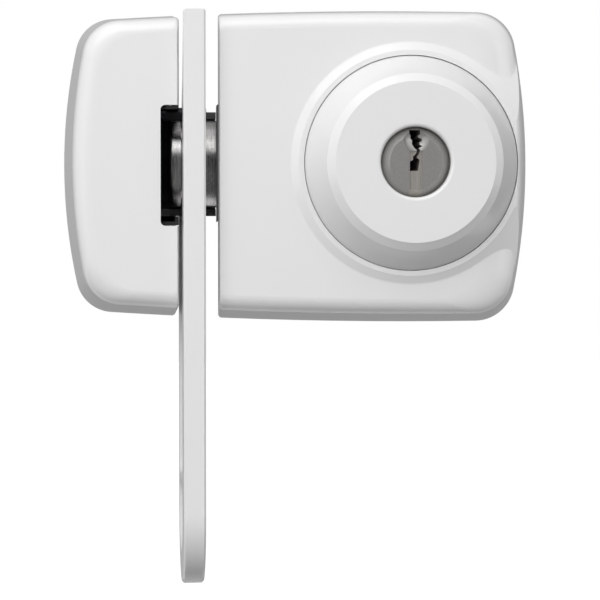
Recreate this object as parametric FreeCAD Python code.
"""Auxiliary door lock with its strike and swinging locking bar.

Millimetres. The origin is on the key cylinder's axis in the door's face. +X runs from the
strike towards the door's hinges, +Y into the door and +Z up, so the room is on the -Y side.
"""
import FreeCAD, Part
import math
import os

# Cases: outline of both covers, seen from the room
crown_x = 8.0               # where the long top and bottom arcs are highest
crown_margin = 17.6         # from the rosette's rim to the highest edge
crown_radius = 1509.0
case_clearance = 12.6       # the cases' depth beyond the bolt's diameter
case_wall = 1.5
height_draft = 4.1          # how far the top and bottom lean in by the front
edge_roll = 4.5             # how deep the front edge is rounded, all round
roll_steps = 6
flat_lean = 1.95            # how far the lock's flat side leans back under its front edge
flat_roll = 0.8             # how wide the front edge is rounded along a flat side
flat_corner_radius = 1.2
plate_gap = 0.3             # between a base plate and the cover round it
plate_thickness = 2.0

lock_flat_x = -60.0
lock_bow_margin = 10.2      # from the rosette's rim to the bowed edge
lock_bow_radius = 207.0
lock_bow_draft = 8.2
lock_bow_roll = 11.5        # how wide the front edge is rounded along the bow
lock_corner_radius = 13.0

strike_flat_x = -71.9
strike_bow_x = -107.9
strike_bow_radius = 177.0
strike_bow_draft = 3.5
strike_bow_roll = 5.5
strike_corner_radius = 12.0

# Round bolt, thrown by one turn of the key
bolt_shift = 2.0            # the bolt's axis lies this far in front of the cases' middle
bolt_radius = 13.7
bolt_tip_x = -74.7
bolt_rear_x = -32.0
bolt_tip_round = 1.0
bolt_running_gap = 0.05
core_radius = 3.9
core_gap = 0.1
core_length = 34.0
core_cover = 2.0            # metal behind the hardened core

# Gear train from the cylinder to the bolt
gear_module = 1.0
pinion_teeth = 12
wheel_teeth = 30
pressure_angle = math.radians(25.0)
addendum = 0.8 * gear_module
dedendum = 1.05 * gear_module
backlash = 0.16
mesh_gap = 0.05
root_step = 0.05            # least height of a flank's start above the root
wheel_x = 3.0
gear_width = 3.4
gear_plane_y = -11.0        # front faces of the wheel and of the plug's gear
gear_side_gap = 0.4
post_radius = 2.5
post_running_gap = 0.05
hub_radius = 5.0
hub_gap = 0.2
pinion_end_gap = 0.3
window_count = 5            # round holes that lighten the wheel
window_circle = 9.0
window_radius = 2.5
rack_height = 7.6
rack_plate_gap = 0.5
rack_front_gap = 0.7
rack_end_extra = 2.4        # rack past the pinion's middle when the bolt is thrown
rack_screw_z = 8.5
rack_screw_reach = 7.0
tail_flange = 2.5
tail_flange_half_depth = 11.0
tail_flange_top = 11.0
rail_height = 1.6
rail_gap = 0.15
rail_length = 40.0
rail_lead = 6.0             # rail's start ahead of the mechanism plate

# Mechanism plate and its pillars
mech_plate_thickness = 1.6
mech_plate_y = -14.0
mech_x = (-13.2, 27.0)
mech_bottom_margin = 6.8    # from the case's lowest edge to the mechanism plate
mech_top_z = 31.0
pillar_radius = 3.0
pillar_inset = 4.0
small_screw_radius = 1.25
small_head_radius = 2.4
small_head_height = 1.4
mech_screw_length = 6.0
tail_hole_gap = 0.75

# Key cylinder
plug_radius = 10.45
plug_proud = 11.5           # in front of the cases
plug_bevel = 2.35
plug_running_gap = 0.05
plug_end_gap = 0.3
housing_radius = 13.5
housing_proud = 9.6
housing_flange_half_width = 11.0
housing_flange_z = (-28.0, 21.0)
housing_flange_thickness = 3.0
bible_half_width = 4.75
bible_bottom_z = -22.5
bible_setback = 0.6
housing_screw_zs = (-25.0, 17.5)
tail_square = 4.6
tail_stub_radius = 2.2
tail_stub_length = 2.2
tail_notch_half_width = 0.75
tail_notch_depth = 1.2
tail_gap = 0.02
pin_count = 5
pin_first_inset = 3.6       # from the housing's front to the first pin
pin_pitch = 6.0
pin_radius = 1.45
pin_hole_gap = 0.05
key_pin_lengths = (5.6, 4.4, 6.2, 5.0, 3.9)
key_pin_bottom_z = -10.3
key_pin_point = 0.6
driver_top_z = -10.62
driver_length = 4.0
spring_wall = 0.4
strip_thickness = 1.9
strip_half_width = 2.2
strip_end = 2.4
keyway_outline = (          # down the left side, then up the right
    (-2.0, 9.8), (-2.0, 8.8), (-1.5, 8.0), (-1.6, 7.2), (-1.0, 6.6), (-1.1, 5.6), (-0.6, 4.6),
    (-0.3, 4.2), (0.3, 3.6), (0.0, 2.6), (-0.9, 1.6), (-0.9, 0.6), (-1.9, 0.2), (-1.9, -2.7),
    (0.6, -2.7), (1.2, 0.6), (0.2, 1.4), (0.9, 2.4), (1.3, 3.6), (1.0, 4.2), (2.1, 4.9),
    (1.3, 5.3), (1.2, 6.0), (1.9, 6.4), (1.9, 7.1), (0.9, 7.5), (0.8, 8.0), (1.4, 8.5), (1.4, 9.8))
keyway_bottom_z = -2.7
keyway_end_y = -17.0
countersink_z = 6.9
countersink_radius = 3.95
countersink_depth = 2.0
groove_half_width = 1.95
groove_depth = 0.6
groove_top_z = 3.3
pin_hole_lap = 0.1          # how far a pin hole opens into the keyway
clip_thickness = 0.8
clip_radius = 4.2
clip_mouth_half_width = 1.2

# Rosette round the cylinder
rosette_proud = 11.9
rosette_face_radius = 24.7
rosette_shoulder_radius = 27.25
rosette_shoulder_depth = 1.9
rosette_base_radius = 33.2
rosette_gap = 0.25
rosette_bore_gap = 0.3
rosette_lip = 1.2
rosette_wall = 3.2
rosette_face_wall = 1.3
rosette_rear_gap = 0.2
rosette_base_sink = 0.4     # rosette's foot below the collar's top
rosette_flange_width = 3.3
rosette_flange_thickness = 1.2
rosette_screw_radius = 0.9
rosette_screw_head = 1.7
rosette_screw_head_height = 0.7
rosette_screw_reach = 1.2
rosette_screw_offset = 1.7  # from the rosette's rim to its screws
rosette_screw_angles = (90.0, -30.0, 210.0)
collar_width = 4.4
collar_top_width = 1.8
collar_height = 1.2
collar_root = 5.0
collar_side_roll = 2.5      # soft edge where the collar meets the bowed wall
collar_end_margin = 2.3     # the collar ends this far past the start of the rounded edge
collar_blend = 1.2

# Bolt guide and face plate at the lock's edge
face_plate_side = 4.4
face_plate_proud = 0.6
face_plate_thickness = 2.5
face_plate_setback = 2.6
face_plate_back_y = -4.0
face_plate_round = 0.8
fit_gap = 0.15
guide_side = 5.3            # from the bolt's side to the guide's end
guide_length = 11.0
guide_setback = 2.1
bolt_hole_gap = 0.5
edge_screw_z = 16.0
edge_screw_inset = 6.0
edge_screw_reach = 6.0
guide_screw_shift = 1.5     # off the guide's middle, away from the edge screws
guide_screw_margin = 0.6
plate_screw_radius = 2.0
plate_screw_head = 3.6
plate_screw_length = 8.0

# Strike: keeper, notch and lining
keeper_back_x = -95.0
keeper_front_x = -79.1
keeper_side = 5.3
keeper_setback = 1.6
keeper_bore_gap = 0.5
keeper_floor = 3.5
keeper_screw_z = 11.0
keeper_screw_margin = 1.0
trough_wall = 2.2
trough_end_gap = 0.1
notch_x = -77.7
notch_margin = 2.2          # from the trough to the notch's ends, before its drop
notch_drop = 0.9            # the notch's middle lies this far below the bolt's axis
notch_corner_radius = 1.5
notch_rear_y = -2.5
liner_wall = 1.1
liner_gap = 0.2

# Locking bar and its pin
bar_thickness = 6.8
bar_side_gap = 1.0          # between the bar and the strike's case
bar_proud = 8.0
bar_leg = 8.0               # width of the bar behind its slot
bar_top_z = 46.5
bar_bottom_z = -132.1
bar_nose = 3.0
nose_foot_drop = 20.1
nose_foot_setback = 11.4    # behind the bar's front edge
bar_edge_round = 0.6
pivot_setback = 3.8
pivot_drop = 2.8            # below the notch's top
pivot_pin_radius = 1.5
pivot_running_gap = 0.05
pivot_head_radius = 1.95
pivot_head_height = 0.5
pivot_end_gap = 0.05
pivot_pin_back_x = -90.0
spacer_radius = 2.1
spacer_end_gap = 0.1
slot_gap = 1.0              # on top of the neck's diameter
slot_end_z = -98.2
slot_corner_radius = 4.0
web_thickness = 4.0
finger_hole_bottom_z = -122.1
bolt_sweep_gap = 0.7
trough_sweep_gap = 0.45
tine_round = 2.0
neck_depth = 1.9
neck_side_gap = 0.25

# Screws and their holes
door_screw_hole_radius = 2.3
door_screw_x = 31.0
door_screw_z = 38.5
frame_screw_x = (-99.0, -81.0)
frame_screw_z = 33.0
cover_screw_radius = 1.5
cover_screw_head = 2.6
cover_screw_y = -6.5
cover_screw_length = 5.6
cover_screw_sink = 0.4      # below the case's wall, which leans
cover_screw_rim = 0.3
cover_screw_xs = (-35.0, 12.0)
strike_cover_screw_x = -88.0
tab_half_width = 5.0
tab_thickness = 1.6
tab_reach = 11.0
tailpiece_hole_radius = 6.0

over = 1.0                  # how far a cutting tool runs past what it cuts
far = 200.0                 # beyond every piece

# Sizes worked out from the ones above
case_depth = 2 * bolt_radius + case_clearance
guide_half_height = bolt_radius + guide_side
face_plate_half_height = bolt_radius + face_plate_side
keeper_half_height = bolt_radius + keeper_side
keeper_bore_radius = bolt_radius + keeper_bore_gap
trough_outer_radius = keeper_bore_radius + trough_wall
notch_half_height = trough_outer_radius + notch_margin
neck_radius = bolt_radius - neck_depth
slot_width = 2 * neck_radius + slot_gap
crown_half_height = rosette_base_radius + crown_margin
lock_bow_x = rosette_base_radius + lock_bow_margin
bolt_y = -case_depth / 2 - bolt_shift
pivot_y = pivot_setback - case_depth
pivot_z = notch_half_height - notch_drop - pivot_drop
bar_front_y = -bar_proud - case_depth
nose_foot_y = bar_front_y + nose_foot_setback
face_plate_y = (face_plate_setback - case_depth, face_plate_back_y)
guide_front_y = guide_setback - case_depth
keeper_front_y = keeper_setback - case_depth
plug_front_y = -plug_proud - case_depth
housing_front_y = -housing_proud - case_depth
pin_first_y = housing_front_y + pin_first_inset
rosette_front_y = -rosette_proud - case_depth
rosette_flange_radius = rosette_base_radius + rosette_flange_width
rosette_screw_circle = rosette_base_radius + rosette_screw_offset
collar_radius = rosette_base_radius + collar_width
collar_top_radius = rosette_base_radius + collar_top_width
collar_half_height = crown_half_height - height_draft - edge_roll + collar_end_margin
mech_z = (mech_bottom_margin - crown_half_height, mech_top_z)
lean_angle = math.degrees(math.atan(flat_lean / case_depth))
pitch_radius = gear_module * pinion_teeth / 2
wheel_pitch_radius = gear_module * wheel_teeth / 2
train_distance = pitch_radius + wheel_pitch_radius + mesh_gap
wheel_z = -math.sqrt(train_distance ** 2 - wheel_x ** 2)
turn_throw = 2 * math.pi * pitch_radius * pinion_teeth / wheel_teeth
rack_pitch_z = wheel_z - pitch_radius - mesh_gap
rack_bottom_z = rack_pitch_z - rack_height
rack_y = (gear_plane_y + gear_width + gear_side_gap + rack_front_gap, -plate_thickness - rack_plate_gap)
rack_end_x = wheel_x + turn_throw + rack_end_extra
bar_x = (strike_flat_x + bar_side_gap, strike_flat_x + bar_side_gap + bar_thickness)
slot_y = pivot_y + pivot_z  # the slot comes level with the bolt when the bar stands out
bar_rear_y = slot_y + slot_width / 2 + bar_leg
face_plate_x = lock_flat_x - face_plate_proud
guide_x = (face_plate_x + face_plate_thickness, face_plate_x + face_plate_thickness + guide_length)
trough_end_x = face_plate_x + flat_lean * (case_depth + bolt_y) / case_depth - trough_end_gap
inner_front_y = -case_depth + case_wall
pin_ys = [pin_first_y + pin_pitch * k for k in range(pin_count)]


def vec(x, y, z):
    return FreeCAD.Vector(x, y, z)


def box(x, y, z):
    """Block between pairs of x, y and z values."""
    return Part.makeBox(x[1] - x[0], y[1] - y[0], z[1] - z[0], vec(x[0], y[0], z[0]))


def rod_x(x, y, z, radius):
    return Part.makeCylinder(radius, x[1] - x[0], vec(x[0], y, z), vec(1, 0, 0))


def rod_y(y, x, z, radius):
    return Part.makeCylinder(radius, y[1] - y[0], vec(x, y[0], z), vec(0, 1, 0))


def rod_z(z, x, y, radius):
    return Part.makeCylinder(radius, z[1] - z[0], vec(x, y, z[0]), vec(0, 0, 1))


def cone_y(y, x, z, front_radius, rear_radius):
    return Part.makeCone(front_radius, rear_radius, y[1] - y[0], vec(x, y[0], z), vec(0, 1, 0))


def join(first, *others):
    return first.fuse(list(others)).removeSplitter()


def polar(centre, radius, angle):
    """Point in a plane, given as a pair, at an angle in radians."""
    return (centre[0] + radius * math.cos(angle), centre[1] + radius * math.sin(angle))


def arc_xz(start, middle, end, y):
    return Part.Arc(vec(start[0], y, start[1]), vec(middle[0], y, middle[1]),
                    vec(end[0], y, end[1])).toShape()


def crown_z(x):
    return crown_half_height - (x - crown_x) ** 2 / (2 * crown_radius)


def case_outline(y, flat_x, tip_x, bow_radius, corner_radius, flat_radius, top_inset):
    """Closed outline of a case at one depth: square at its flat end, round at its bowed end."""
    side = 1 if tip_x > flat_x else -1
    corner_x = tip_x
    for _ in range(12):
        corner_z = crown_z(corner_x) - top_inset
        corner_x = tip_x - side * corner_z ** 2 / (2 * bow_radius)
    flat_z = crown_z(flat_x) - top_inset
    mid_x = (flat_x + corner_x) / 2
    mid_z = crown_z(mid_x) - top_inset
    corner = (corner_x, corner_z)
    edges = [
        arc_xz((flat_x, flat_z), (mid_x, mid_z), corner, y),
        arc_xz(corner, (tip_x, 0), (corner_x, -corner_z), y),
        arc_xz((corner_x, -corner_z), (mid_x, -mid_z), (flat_x, -flat_z), y),
        Part.makeLine(vec(flat_x, y, -flat_z), vec(flat_x, y, flat_z)),
    ]
    slab = Part.Face(Part.Wire(edges)).extrude(vec(0, over, 0))
    upright = [e for e in slab.Edges if abs(e.Vertexes[0].Y - e.Vertexes[1].Y) > over / 2]
    at_flat = [e for e in upright if abs(e.Vertexes[0].X - flat_x) < corner_radius]
    at_bow = [e for e in upright if abs(e.Vertexes[0].X - flat_x) > corner_radius]
    slab = slab.makeFillet(corner_radius, at_bow)
    if flat_radius > 0:
        at_flat = [e for e in slab.Edges if any(same_place(e, a) for a in at_flat)]
        slab = slab.makeFillet(flat_radius, at_flat)
    front = min(slab.Faces, key=lambda face: face.CenterOfMass.y)
    edges = Part.__sortEdges__(front.OuterWire.Edges)
    first = min(range(len(edges)), key=lambda k: abs(edges[k].CenterOfMass.x - flat_x))
    return Part.Wire(edges[first:] + edges[:first])


def same_place(edge, other):
    return (edge.CenterOfMass - other.CenterOfMass).Length < 0.001


def case_section(values, y, wall, drawn_in=0):
    """Outline of a case at a depth; the share drawn in grows across the rounded front edge."""
    flat_x, lean_back, bow_x, bow_radius, bow_draft, bow_roll, corner_radius = values
    side = 1 if bow_x > flat_x else -1
    share = -y / case_depth
    tip_x = bow_x - side * (bow_draft * share + wall + (bow_roll - wall) * drawn_in)
    flat = flat_x + side * (wall + flat_roll * drawn_in + lean_back * (1 - share))
    inset = height_draft * share + wall + (edge_roll - wall) * drawn_in
    flat_radius = max(flat_corner_radius - wall, 0)
    return case_outline(y, flat, tip_x, bow_radius, corner_radius - wall, flat_radius, inset)


def case_block(values, wall, proud=0):
    """Solid of a case, drafted and rolled at its front; a wall makes it that much smaller."""
    roll = edge_roll - wall
    front_y = wall - case_depth - proud
    rolled = []
    for k in range(roll_steps + 1):
        angle = math.pi / 2 * k / roll_steps
        depth = roll * (1 - math.cos(angle))
        rolled.append(case_section(values, front_y + depth, wall, 1 - math.sin(angle)))
    cap = Part.makeLoft(rolled, True, False, False, 2)
    rest = case_slab(values, wall, front_y + roll, 0)
    if wall > 0:
        rest = rest.fuse(case_slab(values, wall, 0, over))
    return rest.fuse(cap).removeSplitter()


def case_slab(values, wall, from_y, to_y):
    """Straight drafted part of a case between two depths."""
    ends = [case_section(values, y, wall) for y in (from_y, to_y)]
    return Part.makeLoft(ends, True, True)


lock_values = (lock_flat_x, flat_lean, lock_bow_x, lock_bow_radius, lock_bow_draft,
               lock_bow_roll, lock_corner_radius)
strike_values = (strike_flat_x, 0, strike_bow_x, strike_bow_radius, strike_bow_draft,
                 strike_bow_roll, strike_corner_radius)


def base_plate(values):
    return case_slab(values, case_wall + plate_gap, -plate_thickness, 0)


def cover_tab(x, side):
    """Upright ear of a base plate just inside the cover's top (1) or bottom (-1) wall."""
    drop = height_draft * tab_reach / case_depth + case_wall + plate_gap
    top = crown_z(x + tab_half_width) - drop
    top = min(top, crown_z(x - tab_half_width) - drop)
    z = (top - tab_thickness, top) if side > 0 else (-top, -top + tab_thickness)
    return box((x - tab_half_width, x + tab_half_width), (-tab_reach, -plate_thickness / 2), z)


def cover_screw_place(x):
    """Height of the case's top wall at a cover screw."""
    return crown_z(x) + height_draft * cover_screw_y / case_depth


def cover_screw(x, gap):
    """Countersunk screw down through the top wall and the ear under it."""
    top = cover_screw_place(x)
    seat = top - cover_screw_sink - cover_screw_rim
    slope = cover_screw_head - cover_screw_radius
    head = Part.makeCone(cover_screw_radius + gap, cover_screw_head + gap, slope,
                         vec(x, cover_screw_y, seat - slope), vec(0, 0, 1))
    cap_top = top + over if gap > 0 else top - cover_screw_sink
    cap = rod_z((seat, cap_top), x, cover_screw_y, cover_screw_head + gap)
    shank = rod_z((top - cover_screw_length, seat - slope / 2), x, cover_screw_y,
                  cover_screw_radius + gap)
    return join(shank, head, cap)


def plate_screw(x, z, gap, reach):
    """Countersunk screw from a base plate's rear face into the block before it."""
    slope = plate_screw_head - plate_screw_radius
    head = cone_y((-slope, 0), x, z, plate_screw_radius + gap, plate_screw_head + gap)
    shank = rod_y((-reach, -slope / 2), x, z, plate_screw_radius + gap)
    return join(shank, head)


def lock_cover():
    top_y = -case_depth - collar_height
    ring = collar(top_y)
    shell = case_block(lock_values, 0).fuse(ring).removeSplitter()
    shell = shell.makeFillet(collar_blend, round_edges(shell, collar_radius, -case_depth))
    shell = shell.cut(case_block(lock_values, case_wall))
    hole = rod_y((top_y - over, inner_front_y + collar_root), 0, 0, rosette_base_radius + rosette_gap)
    seat_y = (inner_front_y, inner_front_y + collar_root)
    seat = rod_y(seat_y, 0, 0, rosette_flange_radius + rosette_gap)
    seat = seat.common(box((-far, rosette_flat_x() + fit_gap), seat_y, (-far, far)))
    plate_hole = leaned(face_plate_block(fit_gap, over))
    shell = shell.cut([hole, seat, plate_hole])
    for angle in rosette_screw_angles:
        shell = shell.cut(rosette_screw(angle, 0.02))
    for x in cover_screw_xs:
        shell = shell.cut(cover_screw(x, fit_gap))
    return shell


def collar(top_y):
    """Raised ring round the rosette; its cone runs on down into the case's rounded edge."""
    grade = (collar_radius - collar_top_radius) / collar_height
    root_y = -case_depth + collar_root
    ring = cone_y((top_y, root_y), 0, 0, collar_top_radius, collar_radius + grade * collar_root)
    values = lock_values[:5] + (collar_side_roll, lock_corner_radius)
    limit = case_block(values, 0, collar_height)
    high = box((-far, far), (top_y, root_y), (-collar_half_height, collar_half_height))
    return ring.common(limit).common(high)


def round_edges(shape, radius, y):
    """Edges on a circle about the cylinder's axis at one depth."""
    found = []
    for edge in shape.Edges:
        middle = (edge.FirstParameter + edge.LastParameter) / 2
        points = [edge.valueAt(t) for t in (edge.FirstParameter, middle, edge.LastParameter)]
        if all(abs(math.hypot(q.x, q.z) - radius) < 0.05 and abs(q.y - y) < 0.01 for q in points):
            found.append(edge)
    return found


def rosette_flat_x():
    """Flat on the rosette's rim that clears the case's bowed wall."""
    share = (case_depth - case_wall - rosette_flange_thickness) / case_depth
    return lock_bow_x - lock_bow_draft * share - case_wall - plate_gap


def face_plate_block(gap, extra):
    """Bolt face plate's outline as a solid, grown by a gap for the cover's opening."""
    x = (face_plate_x - extra, face_plate_x + face_plate_thickness + extra)
    y = (face_plate_y[0] - gap, face_plate_y[1] + gap)
    half = face_plate_half_height + gap
    return box(x, y, (-half, half))


def leaned(shape):
    """Turn a shape that was built upright so that it follows the lock's flat side."""
    return shape.rotated(vec(lock_flat_x, -case_depth, 0), vec(0, 0, 1), -lean_angle)


def bolt_face_plate():
    plate = face_plate_block(0, 0)
    outer = [e for e in plate.Edges
             if all(abs(v.X - face_plate_x) < 0.01 for v in e.Vertexes)]
    plate = leaned(plate.makeFillet(face_plate_round, outer))
    span = (face_plate_x - over, guide_x[1])
    plate = plate.cut(rod_x(span, bolt_y, 0, bolt_radius + bolt_hole_gap))
    return plate.cut(edge_screws(fit_gap))


def edge_screws(gap):
    """Two countersunk screws that hold the face plate to the bolt guide."""
    shapes = []
    for side in (1, -1):
        z = side * edge_screw_z
        y = face_plate_y[1] - edge_screw_inset
        depth = small_head_radius - small_screw_radius
        head = Part.makeCone(small_head_radius + gap, small_screw_radius + gap, depth,
                             vec(face_plate_x, y, z), vec(1, 0, 0))
        shank_x = (face_plate_x + depth / 2, guide_x[0] + edge_screw_reach)
        shank = rod_x(shank_x, y, z, small_screw_radius + gap)
        shapes.append(leaned(join(head, shank)))
    return Part.makeCompound(shapes)


def bolt_guide():
    half = guide_half_height
    block = box(guide_x, (guide_front_y, -plate_thickness), (-half, half))
    block = block.cut(leaned(box((-far, guide_x[0]), (-far, far), (-far, far))))
    span = (guide_x[0] - over, guide_x[1] + over)
    block = block.cut(rod_x(span, bolt_y, 0, bolt_radius + bolt_running_gap))
    block = block.cut(edge_screws(0))
    for z in (guide_screw_z(), -guide_screw_z()):
        block = block.cut(plate_screw(guide_screw_x(), z, 0, plate_screw_length))
    return block


def guide_screw_x():
    return (guide_x[0] + guide_x[1]) / 2 + guide_screw_shift


def guide_screw_z():
    return guide_half_height - plate_screw_head - guide_screw_margin


def screw_group(places, reach):
    return Part.makeCompound([plate_screw(x, z, 0, reach) for x, z in places])


def guide_screws():
    places = [(guide_screw_x(), guide_screw_z()), (guide_screw_x(), -guide_screw_z())]
    return screw_group(places, plate_screw_length)


def pillar_places():
    xs = (mech_x[0] + pillar_inset, mech_x[1] - pillar_inset)
    zs = (mech_z[0] + pillar_inset, mech_z[1] - pillar_inset)
    return [(x, z) for x in xs for z in zs]


def back_plate():
    plate = base_plate(lock_values)
    tabs = [cover_tab(x, side) for x in cover_screw_xs for side in (1, -1)]
    plate = join(plate, *tabs)
    cuts = [rod_y((-plate_thickness - over, over), x, z, door_screw_hole_radius)
            for x in (door_screw_x, -door_screw_x) for z in (door_screw_z, -door_screw_z)]
    cuts.append(rod_y((-plate_thickness - over, over), 0, 0, tailpiece_hole_radius))
    cuts.append(rod_y((-plate_thickness - over, over), wheel_x, wheel_z, post_radius))
    cuts += [plate_screw(guide_screw_x(), z, 0, plate_screw_length)
             for z in (guide_screw_z(), -guide_screw_z())]
    cuts += [pillar_screw(x, z) for x, z in pillar_places()]
    cuts += [cover_screw(x, 0) for x in cover_screw_xs]
    return plate.cut(cuts)


def pillar_screw(x, z):
    """Flush rivet shank that joins a pillar to the back plate."""
    return rod_y((-plate_thickness, 0), x, z, pillar_radius / 2)


def plate_pillars():
    pillars = []
    for x, z in pillar_places():
        body = rod_y((mech_plate_y + mech_plate_thickness, -plate_thickness), x, z, pillar_radius)
        pillars.append(join(body, pillar_screw(x, z)).cut(mech_screw(x, z)))
    return Part.makeCompound(pillars)


def mech_screw(x, z):
    """Screw that holds the mechanism plate on a pillar."""
    head = rod_y((mech_plate_y - small_head_height, mech_plate_y), x, z, small_head_radius)
    shank = rod_y((mech_plate_y, mech_plate_y + mech_screw_length), x, z, small_screw_radius)
    return join(head, shank)


def mechanism_screws():
    return Part.makeCompound([mech_screw(x, z) for x, z in pillar_places()])


def mechanism_plate():
    y = (mech_plate_y, mech_plate_y + mech_plate_thickness)
    plate = box(mech_x, y, mech_z)
    upright = [e for e in plate.Edges if abs(e.Vertexes[0].Y - e.Vertexes[1].Y) > 0.1]
    plate = plate.makeFillet(pillar_radius, upright)
    cuts = [mech_screw(x, z) for x, z in pillar_places()]
    cuts.append(rod_y((y[0] - over, y[1] + over), 0, 0, tail_square * math.sqrt(0.5) + tail_hole_gap))
    cuts.append(rod_y((y[0] - over, y[1] + over), wheel_x, wheel_z, post_radius))
    cuts.append(housing_screws())
    return plate.cut(cuts)


def gear_face(centre, teeth, first_angle, y):
    """Toothed disc's face in the XZ plane, with involute flanks."""
    radius = gear_module * teeth / 2
    base = radius * math.cos(pressure_angle)
    tip = radius + addendum
    root = radius - dedendum
    start = max(base, root + root_step)
    half_at_pitch = (math.pi * gear_module / 2 - backlash) / (2 * radius)
    flank = []
    steps = 4
    for k in range(steps + 1):
        r = start + (tip - start) * k / steps
        angle = math.acos(min(1.0, base / r))
        half = half_at_pitch + inv(pressure_angle) - inv(angle)
        flank.append((r, half))
    points = []
    for tooth in range(teeth):
        middle = first_angle + 2 * math.pi * tooth / teeth
        points.append(polar(centre, root, middle - flank[0][1]))
        points += [polar(centre, r, middle - half) for r, half in flank]
        points += [polar(centre, r, middle + half) for r, half in reversed(flank)]
        points.append(polar(centre, root, middle + flank[0][1]))
    corners = [vec(x, y, z) for x, z in points]
    return Part.Face(Part.makePolygon(corners + corners[:1]))


def inv(angle):
    return math.tan(angle) - angle


def gear_disc(centre, teeth, first_angle, y):
    return gear_face(centre, teeth, first_angle, y[0]).extrude(vec(0, y[1] - y[0], 0))


def wheel_to_plug_angle():
    return math.atan2(-wheel_z, -wheel_x)


def reduction_gear():
    """Wheel driven by the plug, in one piece with the pinion that moves the rack."""
    centre = (wheel_x, wheel_z)
    wheel_y = (gear_plane_y, gear_plane_y + gear_width)
    half_pitch = math.pi / wheel_teeth
    wheel = gear_disc(centre, wheel_teeth, wheel_to_plug_angle() + half_pitch, wheel_y)
    pinion_y = (wheel_y[1], -plate_thickness - pinion_end_gap)
    pinion = gear_disc(centre, pinion_teeth, -math.pi / 2, pinion_y)
    hub_y = (mech_plate_y + mech_plate_thickness + hub_gap, gear_plane_y)
    hub = rod_y(hub_y, wheel_x, wheel_z, hub_radius)
    bore = rod_y((hub_y[0] - over, pinion_y[1] + over), wheel_x, wheel_z, post_radius + post_running_gap)
    windows = []
    for k in range(window_count):
        x, z = polar(centre, window_circle, 2 * math.pi * k / window_count)
        windows.append(rod_y((wheel_y[0] - over, wheel_y[1] + over), x, z, window_radius))
    return join(wheel, pinion, hub).cut([bore] + windows)


def gear_post():
    return rod_y((mech_plate_y, 0), wheel_x, wheel_z, post_radius)


def plug_gear():
    y = (gear_plane_y, gear_plane_y + gear_width)
    gear = gear_disc((0, 0), pinion_teeth, wheel_to_plug_angle() + math.pi, y)
    half = tail_square / 2 + tail_gap
    return gear.cut(box((-half, half), (y[0] - over, y[1] + over), (-half, half)))


def bolt_rack():
    """Flange on the bolt's rear and the toothed bar that runs back behind the cylinder."""
    flange_y = (bolt_y - tail_flange_half_depth, rack_y[1])
    flange = box((bolt_rear_x, bolt_rear_x + tail_flange), flange_y, (rack_bottom_z, tail_flange_top))
    bar_span = (bolt_rear_x, rack_end_x)
    bar_body = box(bar_span, rack_y, (rack_bottom_z, rack_pitch_z - dedendum))
    pitch = math.pi * gear_module
    half = (pitch / 2 - backlash) / 2
    slope = math.tan(pressure_angle)
    teeth = []
    first = math.ceil((bolt_rear_x + tail_flange - wheel_x) / pitch)
    last = math.floor((rack_end_x - wheel_x) / pitch)
    for k in range(first, last):
        middle = wheel_x + (k + 0.5) * pitch
        foot = half + dedendum * slope
        tip = half - addendum * slope
        low = rack_pitch_z - dedendum
        high = rack_pitch_z + addendum
        corners = [(middle - foot, low), (middle + foot, low), (middle + tip, high), (middle - tip, high)]
        points = [vec(x, rack_y[0], z) for x, z in corners]
        face = Part.Face(Part.makePolygon(points + points[:1]))
        teeth.append(face.extrude(vec(0, rack_y[1] - rack_y[0], 0)))
    return join(flange, bar_body, *teeth).cut(rack_screws())


def rack_screws():
    """Two countersunk screws through the flange into the bolt."""
    shapes = []
    flange_x = bolt_rear_x + tail_flange
    depth = small_head_radius - small_screw_radius
    for z in (rack_screw_z, -rack_screw_z):
        head = Part.makeCone(small_screw_radius, small_head_radius, depth,
                             vec(flange_x - depth, bolt_y, z), vec(1, 0, 0))
        shank = rod_x((bolt_rear_x - rack_screw_reach, flange_x - depth / 2), bolt_y, z, small_screw_radius)
        shapes.append(join(head, shank))
    return Part.makeCompound(shapes)


def bolt():
    body = rod_x((bolt_tip_x, bolt_rear_x), bolt_y, 0, bolt_radius)
    tip = [e for e in body.Edges if len(e.Vertexes) == 1 and abs(e.Vertexes[0].X - bolt_tip_x) < 0.01]
    body = body.makeFillet(bolt_tip_round, tip)
    neck_x = (bar_x[0] - neck_side_gap, bar_x[1] + neck_side_gap)
    ring = rod_x(neck_x, bolt_y, 0, bolt_radius + over).cut(rod_x(neck_x, bolt_y, 0, neck_radius))
    bore_start = bolt_rear_x - core_cover - core_length - 2 * core_gap
    bore = rod_x((bore_start, bolt_rear_x), bolt_y, 0, core_radius + core_gap)
    return body.cut([ring, bore, rack_screws()])


def bolt_core():
    """Hardened rod that turns loose inside the bolt, against sawing."""
    end = bolt_rear_x - core_cover
    plug = rod_x((end, bolt_rear_x), bolt_y, 0, core_radius + core_gap)
    return rod_x((end - core_length, end - core_gap), bolt_y, 0, core_radius), plug


def rack_rail():
    """Strip on the back plate that the rack slides on."""
    top = rack_bottom_z - rail_gap
    start = mech_x[0] - rail_lead
    return box((start, start + rail_length), (rack_y[0], -plate_thickness), (top - rail_height, top))


def keyway_face():
    """Keyhole's toothed outline in the plug's face."""
    points = [vec(x, plug_front_y - over, z) for x, z in keyway_outline]
    return Part.Face(Part.makePolygon(points + points[:1]))


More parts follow.
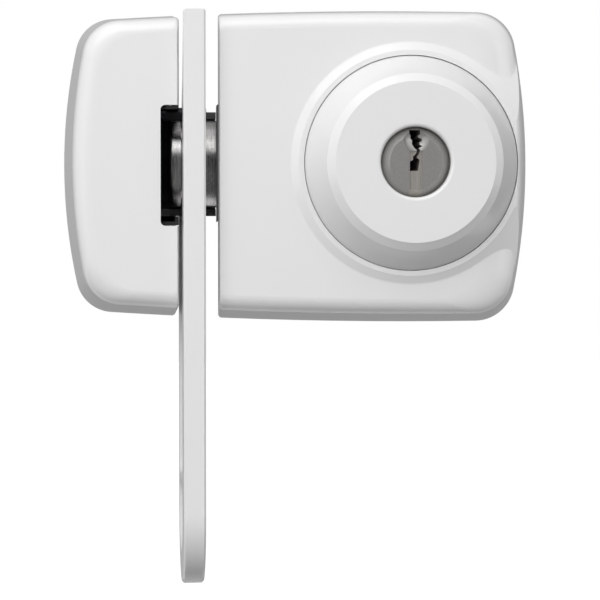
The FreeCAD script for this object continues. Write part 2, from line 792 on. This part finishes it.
def cylinder_plug():
    """Turning core with its keyway, pin holes, square drive and screwdriver-like tail."""
    rear_y = mech_plate_y - plug_end_gap
    body = rod_y((plug_front_y, rear_y), 0, 0, plug_radius)
    front = [e for e in body.Edges if len(e.Vertexes) == 1 and abs(e.Vertexes[0].Y - plug_front_y) < 0.01]
    body = body.makeChamfer(plug_bevel, front)
    half = tail_square / 2
    gear_back_y = gear_plane_y + gear_width
    square = box((-half, half), (rear_y, gear_back_y), (-half, half))
    stub = rod_y((gear_back_y, gear_back_y + tail_stub_length), 0, 0, tail_stub_radius)
    body = join(body, square, stub)
    keyway = keyway_face().extrude(vec(0, keyway_end_y - plug_front_y + over, 0))
    ball = (countersink_radius ** 2 / countersink_depth + countersink_depth) / 2
    sink = Part.makeSphere(ball, vec(0, plug_front_y + countersink_depth - ball, countersink_z))
    strip_z = (-plug_radius - over, groove_top_z)
    strip = box((-groove_half_width, groove_half_width),
                (plug_front_y - over, plug_front_y + groove_depth), strip_z)
    tail_end_y = gear_back_y + tail_stub_length
    notch = box((-tail_notch_half_width, tail_notch_half_width),
                (tail_end_y - tail_notch_depth, tail_end_y + over), (-half, half))
    holes = [rod_z((-plug_radius - over, keyway_bottom_z + pin_hole_lap), 0, y, pin_radius + pin_hole_gap)
             for y in pin_ys]
    return body.cut([keyway, sink, strip, notch] + holes)


def plug_gear_clip():
    """Spring clip on the plug's tail behind its gear."""
    y = gear_plane_y + gear_width
    span = (y, y + clip_thickness)
    ring = rod_y(span, 0, 0, clip_radius).cut(rod_y(span, 0, 0, tail_stub_radius))
    mouth = (-clip_mouth_half_width, clip_mouth_half_width)
    return ring.cut(box(mouth, span, (0, clip_radius + over)))


def key_pins():
    pins = []
    for y, length in zip(pin_ys, key_pin_lengths):
        pin = rod_z((key_pin_bottom_z, key_pin_bottom_z + length), 0, y, pin_radius)
        top = [e for e in pin.Edges if len(e.Vertexes) == 1 and e.Vertexes[0].Z > key_pin_bottom_z + over]
        pins.append(pin.makeChamfer(key_pin_point, top))
    return Part.makeCompound(pins)


def driver_pins():
    low = driver_top_z - driver_length
    return Part.makeCompound([rod_z((low, driver_top_z), 0, y, pin_radius) for y in pin_ys])


def pin_springs():
    """Springs under the driver pins, drawn as sleeves because they are hidden."""
    top = driver_top_z - driver_length
    low = bible_bottom_z + strip_thickness
    sleeves = []
    for y in pin_ys:
        sleeve = rod_z((low, top), 0, y, pin_radius)
        sleeves.append(sleeve.cut(rod_z((low, top), 0, y, pin_radius - spring_wall)))
    return Part.makeCompound(sleeves)


def pin_cover_strip():
    y = (pin_ys[0] - strip_end, pin_ys[-1] + strip_end)
    z = (bible_bottom_z, bible_bottom_z + strip_thickness)
    return box((-strip_half_width, strip_half_width), y, z)


def cylinder_housing():
    """Fixed barrel with the pin chambers below it and a flange on the mechanism plate."""
    barrel = rod_y((housing_front_y, mech_plate_y), 0, 0, housing_radius)
    bible = box((-bible_half_width, bible_half_width), (housing_front_y + bible_setback, mech_plate_y),
                (bible_bottom_z, 0))
    flange = box((-housing_flange_half_width, housing_flange_half_width),
                 (mech_plate_y - housing_flange_thickness, mech_plate_y), housing_flange_z)
    body = join(barrel, bible, flange)
    bore = rod_y((housing_front_y - over, mech_plate_y + over), 0, 0, plug_radius + plug_running_gap)
    holes = [rod_z((bible_bottom_z - over, -plug_radius + over), 0, y, pin_radius + pin_hole_gap)
             for y in pin_ys]
    return body.cut([bore, pin_cover_strip(), housing_screws()] + holes)


def housing_screws():
    """Two screws through the housing's flange into the mechanism plate."""
    shapes = []
    front = mech_plate_y - housing_flange_thickness
    for z in housing_screw_zs:
        head = rod_y((front - small_head_height, front), 0, z, small_head_radius)
        shank = rod_y((front, mech_plate_y + mech_plate_thickness), 0, z, small_screw_radius)
        shapes.append(join(head, shank))
    return Part.makeCompound(shapes)


def key_rosette():
    """Raised hollow ring that shields the cylinder."""
    bore = plug_radius + rosette_bore_gap
    face_y = rosette_front_y
    shoulder_y = face_y + rosette_shoulder_depth
    base_y = -case_depth - collar_height + rosette_base_sink
    flange_y = (inner_front_y, inner_front_y + rosette_flange_thickness)
    inner_base = rosette_base_radius - rosette_wall
    inner_face = rosette_face_radius - rosette_face_wall
    inner_y = housing_front_y - rosette_rear_gap
    outline = [(bore + rosette_lip, face_y), (rosette_face_radius, face_y),
               (rosette_shoulder_radius, shoulder_y), (rosette_base_radius, base_y),
               (rosette_base_radius, flange_y[0]), (rosette_flange_radius, flange_y[0]),
               (rosette_flange_radius, flange_y[1]), (inner_base, flange_y[1]), (inner_face, inner_y),
               (bore, inner_y), (bore, face_y + rosette_lip)]
    points = [vec(r, y, 0) for r, y in outline]
    lip_r, lip_y = polar((bore + rosette_lip, face_y + rosette_lip), rosette_lip, -0.75 * math.pi)
    lip = Part.Arc(points[-1], vec(lip_r, lip_y, 0), points[0]).toShape()
    face = Part.Face(Part.Wire(Part.makePolygon(points).Edges + [lip]))
    ring = face.revolve(vec(0, 0, 0), vec(0, 1, 0), 360)
    limit = box((-far, rosette_flat_x()), (face_y - over, flange_y[1] + over), (-far, far))
    ring = ring.common(join(limit, rod_y((face_y - over, flange_y[0]), 0, 0, rosette_base_radius + 1)))
    return ring.cut([rosette_screw(angle, 0.0) for angle in rosette_screw_angles])


def rosette_screw(angle, gap):
    """Small screw through the rosette's rim into the cover's collar."""
    x, z = polar((0, 0), rosette_screw_circle, math.radians(angle))
    rim_y = inner_front_y + rosette_flange_thickness
    shank = rod_y((inner_front_y - rosette_screw_reach, rim_y), x, z, rosette_screw_radius + gap)
    return join(shank, rod_y((rim_y, rim_y + rosette_screw_head_height), x, z, rosette_screw_head))


def rosette_screws():
    return Part.makeCompound([rosette_screw(angle, 0.0) for angle in rosette_screw_angles])


def cover_screws():
    return Part.makeCompound([cover_screw(x, 0) for x in cover_screw_xs])


def strike_cover():
    shell = case_block(strike_values, 0).cut(case_block(strike_values, case_wall))
    z = (-notch_half_height - notch_drop, notch_half_height - notch_drop)
    notch = box((notch_x, strike_flat_x + over), (-case_depth - over, notch_rear_y), z)
    inner_corners = [e for e in notch.Edges
                     if all(abs(v.X - notch_x) < 0.01 for v in e.Vertexes)
                     and abs(e.Vertexes[0].Y - e.Vertexes[1].Y) > 1]
    notch = notch.makeFillet(notch_corner_radius, inner_corners)
    return shell.cut([notch, cover_screw(strike_cover_screw_x, fit_gap)])


def keeper_screw_places():
    x = (keeper_back_x + keeper_front_x) / 2
    return [(x, keeper_screw_z), (x, -keeper_screw_z)]


def strike_base_plate():
    plate = base_plate(strike_values)
    tabs = [cover_tab(strike_cover_screw_x, side) for side in (1, -1)]
    plate = join(plate, *tabs)
    cuts = [rod_y((-plate_thickness - over, over), x, z, door_screw_hole_radius)
            for x in frame_screw_x for z in (frame_screw_z, -frame_screw_z)]
    cuts += [plate_screw(x, z, 0, keeper_screw_reach()) for x, z in keeper_screw_places()]
    cuts.append(cover_screw(strike_cover_screw_x, 0))
    return plate.cut(cuts)


def keeper_screw_reach():
    """Depth of a keeper screw, ending in the metal behind the bolt's socket."""
    return -bolt_y - keeper_bore_radius - keeper_screw_margin


def keeper_screws():
    return screw_group(keeper_screw_places(), keeper_screw_reach())


def strike_keeper():
    """Steel block with the bolt's socket and the half-round trough across the gap."""
    half = keeper_half_height
    block = box((keeper_back_x, keeper_front_x), (keeper_front_y, -plate_thickness), (-half, half))
    socket = rod_x((keeper_back_x + keeper_floor, keeper_front_x + over), bolt_y, 0, keeper_bore_radius)
    block = block.cut(socket)
    trough_x = (keeper_front_x, trough_end_x)
    trough = rod_x(trough_x, bolt_y, 0, trough_outer_radius)
    trough = trough.cut(rod_x(trough_x, bolt_y, 0, keeper_bore_radius))
    rear_half = box(trough_x, (bolt_y, 0), (-half, half))
    keeper = join(block, trough.common(rear_half))
    pin_hole = rod_x((pivot_pin_back_x, keeper_front_x + over), pivot_y, pivot_z, pivot_pin_radius)
    return keeper.cut([pin_hole, keeper_screws()])


def notch_liner():
    """Black moulding that closes the notch round the bolt's socket."""
    face_x = (notch_x - liner_wall, notch_x)
    low = -notch_half_height - notch_drop + liner_gap
    high = notch_half_height - notch_drop - liner_gap
    y = (keeper_front_y, notch_rear_y - liner_gap)
    end_x = strike_flat_x - liner_gap
    lip_x = (notch_x + notch_corner_radius + liner_gap, end_x)
    lip_y = (-case_depth + liner_gap, keeper_front_y)
    clear = trough_outer_radius + fit_gap
    pieces = [box(face_x, y, (low, high)),
              box((face_x[1], end_x), (y[1] - liner_wall, y[1]), (low, high)),
              box((end_x - liner_wall, end_x), y, (low, -clear))]
    for z in ((high - liner_wall, high), (low, low + liner_wall)):
        pieces.append(box((face_x[1], end_x), y, z))
        pieces.append(box(lip_x, lip_y, z))
    span = (face_x[0] - over, strike_flat_x + over)
    socket = rod_x(span, bolt_y, 0, clear)
    pin = rod_x(span, pivot_y, pivot_z, spacer_radius + fit_gap)
    return join(*pieces).cut([socket, pin])


def bar_pivot_pin():
    head = rod_x((bar_x[1] + pivot_end_gap, bar_x[1] + pivot_end_gap + pivot_head_height), pivot_y, pivot_z,
                 pivot_head_radius)
    shank = rod_x((pivot_pin_back_x, bar_x[1] + pivot_end_gap), pivot_y, pivot_z, pivot_pin_radius)
    return join(shank, head)


def bar_spacer():
    x = (keeper_front_x, bar_x[0] - spacer_end_gap)
    sleeve = rod_x(x, pivot_y, pivot_z, spacer_radius)
    return sleeve.cut(rod_x(x, pivot_y, pivot_z, pivot_pin_radius))


def arc_yz(start, middle, end):
    return Part.Arc(vec(0, *start), vec(0, *middle), vec(0, *end)).toShape()


def line_yz(start, end):
    return Part.makeLine(vec(0, *start), vec(0, *end))


def bar_profile():
    """Side outline of the locking bar, open at the top of its slot so that it swings clear."""
    pin = (pivot_y, pivot_z)
    seat_radius = bolt_radius + bolt_sweep_gap
    to_bolt = math.hypot(bolt_y - pivot_y, pivot_z)
    rest_angle = math.atan2(-pivot_z, bolt_y - pivot_y)
    out_angle = rest_angle + math.pi / 2
    boss_radius = to_bolt - seat_radius
    tip_radius = to_bolt + trough_outer_radius + trough_sweep_gap
    slot_front = slot_y - slot_width / 2
    slot_rear = slot_y + slot_width / 2
    boss_top = polar(pin, boss_radius, out_angle)
    boss_side = polar(pin, boss_radius, (rest_angle + out_angle) / 2)
    boss_foot = polar(pin, boss_radius, rest_angle)
    seat_end = (slot_front, -math.sqrt(seat_radius ** 2 - (slot_front - bolt_y) ** 2))
    seat_mid = (bolt_y - seat_radius, 0)
    tine_front = (slot_rear, pivot_z - math.sqrt(tip_radius ** 2 - (slot_rear - pivot_y) ** 2))
    tine_rear = (bar_rear_y, pivot_z - math.sqrt(tip_radius ** 2 - (bar_rear_y - pivot_y) ** 2))
    tine_mid = polar(pin, tip_radius, (math.atan2(tine_front[1] - pivot_z, tine_front[0] - pivot_y)
                                       + math.atan2(tine_rear[1] - pivot_z, tine_rear[0] - pivot_y)) / 2)
    end_radius = (bar_rear_y - bar_front_y) / 2
    end_z = bar_bottom_z + end_radius
    nose = (bar_front_y + bar_nose, bar_top_z)
    nose_foot = (nose_foot_y, bar_top_z - nose_foot_drop)
    corner = (bar_front_y, bar_top_z)
    edges = [
        line_yz(corner, nose),
        line_yz(nose, nose_foot),
        line_yz(nose_foot, boss_top),
        arc_yz(boss_top, boss_side, boss_foot),
        arc_yz(boss_foot, seat_mid, seat_end),
        line_yz(seat_end, (slot_front, slot_end_z)),
        line_yz((slot_front, slot_end_z), (slot_rear, slot_end_z)),
        line_yz((slot_rear, slot_end_z), tine_front),
        arc_yz(tine_front, tine_mid, tine_rear),
        line_yz(tine_rear, (bar_rear_y, end_z)),
        arc_yz((bar_rear_y, end_z), ((bar_front_y + bar_rear_y) / 2, bar_bottom_z), (bar_front_y, end_z)),
        line_yz((bar_front_y, end_z), corner),
    ]
    return Part.Face(Part.Wire(edges)), tine_front, tine_rear


def at_point(edge, y, z):
    """Whether an edge runs along X at a place in the bar's side outline."""
    return all(abs(v.Y - y) < 0.01 and abs(v.Z - z) < 0.01 for v in edge.Vertexes)


def locking_bar():
    face, tine_front, tine_rear = bar_profile()
    plate = face.extrude(vec(bar_thickness, 0, 0))
    plate.translate(vec(bar_x[0], 0, 0))
    slot_corners = [e for e in plate.Edges for side in (-1, 1)
                    if at_point(e, slot_y + side * slot_width / 2, slot_end_z)]
    plate = plate.makeFillet(slot_corner_radius, slot_corners)
    tips = [e for e in plate.Edges if at_point(e, *tine_front) or at_point(e, *tine_rear)]
    plate = plate.makeFillet(tine_round, tips)
    span = (bar_x[0] - over, bar_x[1] + over)
    hole_radius = slot_width / 2
    hole_top = slot_end_z - web_thickness
    hole_centre = finger_hole_bottom_z + hole_radius
    sides = (slot_y - hole_radius, slot_y + hole_radius)
    round_part = rod_x(span, slot_y, hole_centre, hole_radius)
    round_part = round_part.common(box(span, sides, (finger_hole_bottom_z - over, hole_centre)))
    hole = join(round_part, box(span, sides, (hole_centre, hole_top)))
    top_corners = [e for e in hole.Edges for side in (-1, 1)
                   if at_point(e, slot_y + side * hole_radius, hole_top)]
    hole = hole.makeFillet(slot_corner_radius, top_corners)
    pivot = rod_x(span, pivot_y, pivot_z, pivot_pin_radius + pivot_running_gap)
    plate = plate.cut([hole, pivot])
    faces = (bar_x[0], bar_x[1])
    rims = [e for e in plate.Edges
            if any(all(abs(v.X - x) < 0.01 for v in e.Vertexes) for x in faces)
            and not hole_rim(e)]
    return plate.makeChamfer(bar_edge_round, rims)


def hole_rim(edge):
    """Whether an edge is the rim of the pivot hole."""
    centre = vec(edge.Vertexes[0].X, pivot_y, pivot_z)
    return len(edge.Vertexes) == 1 and (edge.Vertexes[0].Point - centre).Length < 2 * pivot_pin_radius


def main():
    core, core_plug = bolt_core()
    bolt_body = join(bolt(), core_plug.cut(rack_screws()))
    parts = {
        "lock_cover": lock_cover(),
        "back_plate": back_plate(),
        "cover_screws": cover_screws(),
        "bolt_face_plate": bolt_face_plate(),
        "face_plate_screws": edge_screws(0),
        "bolt_guide": bolt_guide(),
        "guide_screws": guide_screws(),
        "plate_pillars": plate_pillars(),
        "mechanism_plate": mechanism_plate(),
        "mechanism_screws": mechanism_screws(),
        "gear_post": gear_post(),
        "reduction_gear": reduction_gear(),
        "plug_gear": plug_gear(),
        "plug_gear_clip": plug_gear_clip(),
        "bolt": bolt_body,
        "bolt_core": core,
        "bolt_rack": bolt_rack(),
        "rack_screws": rack_screws(),
        "rack_rail": rack_rail(),
        "cylinder_housing": cylinder_housing(),
        "housing_screws": housing_screws(),
        "cylinder_plug": cylinder_plug(),
        "key_pins": key_pins(),
        "driver_pins": driver_pins(),
        "pin_springs": pin_springs(),
        "pin_cover_strip": pin_cover_strip(),
        "key_rosette": key_rosette(),
        "rosette_screws": rosette_screws(),
        "strike_cover": strike_cover(),
        "strike_base_plate": strike_base_plate(),
        "strike_cover_screw": cover_screw(strike_cover_screw_x, 0),
        "strike_keeper": strike_keeper(),
        "keeper_screws": keeper_screws(),
        "notch_liner": notch_liner(),
        "bar_pivot_pin": bar_pivot_pin(),
        "bar_spacer": bar_spacer(),
        "locking_bar": locking_bar(),
    }
    os.makedirs("parts", exist_ok=True)
    for name, shape in parts.items():
        shape.exportStep("parts/" + name + ".step")
        size = shape.BoundBox
        print(name, len(shape.Solids), shape.isValid(), round(shape.Volume, 1),
              [round(v, 2) for v in (size.XMin, size.XMax, size.YMin, size.YMax, size.ZMin, size.ZMax)])
    print("throw per turn", round(turn_throw, 4), "wheel at", round(wheel_z, 3))


main()
